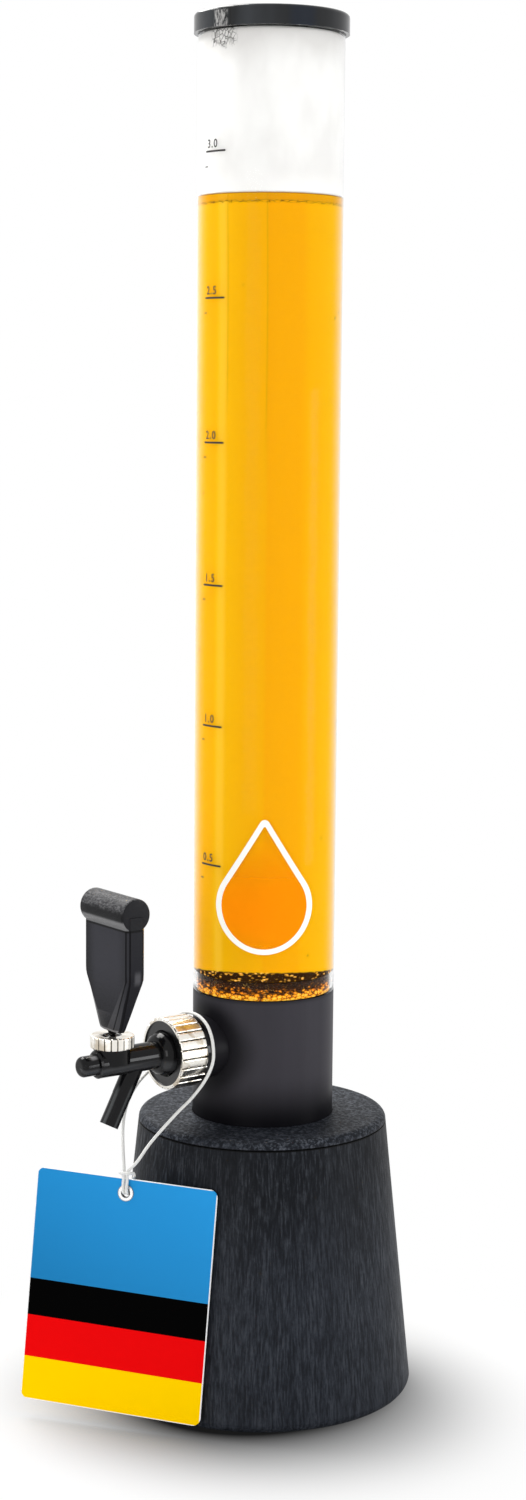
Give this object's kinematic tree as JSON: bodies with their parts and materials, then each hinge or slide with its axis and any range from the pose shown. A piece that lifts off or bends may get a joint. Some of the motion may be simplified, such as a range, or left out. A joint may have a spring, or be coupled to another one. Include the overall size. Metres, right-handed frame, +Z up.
{
  "type": "beverage tower dispenser",
  "caption": "Free-standing drink tower: tall clear tube with lift-off lid on a weighted conical base, lever tap at the foot, hang tag on a cord.",
  "frame": {"origin": "centre of the base on the table, on the tower's axis", "axes": "+Z up along the tower; the tap points along -Y; +X is to the right seen from the tap's side"},
  "size_m": [0.1946, 0.2541, 0.8684],
  "materials": {
    "satin_black": "satin",
    "base_black": "matte",
    "ballast_iron": "rough",
    "black_rubber": "matte",
    "screw_steel": "brushed",
    "clear_acrylic": "clear gloss",
    "lid_grey": "gloss",
    "gloss_black": "gloss",
    "bright_chrome": "polished",
    "white_plastic": "matte",
    "handle_black": "satin",
    "tag_card": "satin print",
    "white_elastic": "woven"
  },
  "bodies": {
    "base": {"base_shell": "satin_black", "base_cap": "satin_black", "base_plate": "base_black", "ballast_plate": "ballast_iron", "base_pad": "black_rubber", "base_screws": "screw_steel"},
    "tower": {"lower_sleeve": "satin_black", "spigot_oring": "black_rubber", "clear_tube": "clear_acrylic", "tap_shank": "gloss_black", "shank_gasket": "black_rubber", "shank_washer": "screw_steel", "shank_locknut": "screw_steel", "tap_gasket": "black_rubber", "tap_body": "gloss_black", "barrel_plug": "gloss_black", "shaft_oring": "black_rubber", "lever_collar": "bright_chrome"},
    "lid": {"lid": "lid_grey", "lid_oring": "black_rubber"},
    "handle": {"lever_stem": "gloss_black", "tap_handle": "handle_black"},
    "shaft": {"valve_shaft": "screw_steel", "seat_washer": "black_rubber", "washer_screw": "screw_steel"},
    "ring": {"slip_ring": "white_plastic"},
    "nut": {"union_nut": "bright_chrome"},
    "tag": {"hang_tag": "tag_card", "tag_eyelet": "screw_steel", "tag_cord": "white_elastic", "cord_knot": "white_elastic"}
  },
  "joints": [
    {"name": "tower_lift", "type": "slide", "parent": "base", "child": "tower", "axis": [0, 0, 1], "range_m": [0, 0.05]},
    {"name": "lid_lift", "type": "slide", "parent": "tower", "child": "lid", "axis": [0, 0, 1], "range_m": [0, 0.08]},
    {"name": "handle_tilt", "type": "hinge", "parent": "tower", "child": "handle", "pos_m": [0, -0.1155, 0.243], "axis": [1, 0, 0], "range_deg": [0, 30]},
    {"name": "shaft_slide", "type": "slide", "parent": "tower", "child": "shaft", "axis": [0, 1, 0], "range_m": [0, 0.0067]},
    {"name": "nut_travel", "type": "slide", "parent": "tower", "child": "ring", "axis": [0, -1, 0], "range_m": [0, 0.0081]},
    {"name": "nut_turn", "type": "hinge", "parent": "ring", "child": "nut", "pos_m": [0, -0.068, 0.23], "axis": [0, -1, 0], "range_deg": [0, 1440]},
    {"name": "tag_swing", "type": "hinge", "parent": "tower", "child": "tag", "pos_m": [0, -0.056, 0.23], "axis": [0, -1, 0], "range_deg": [0, 25]}
  ],
  "couplings": [
    {"joint": "shaft_slide", "follows": "handle_tilt", "m_per_rad": 0.012675},
    {"joint": "nut_travel", "follows": "nut_turn", "m_per_rad": 0.00031831}
  ]
}
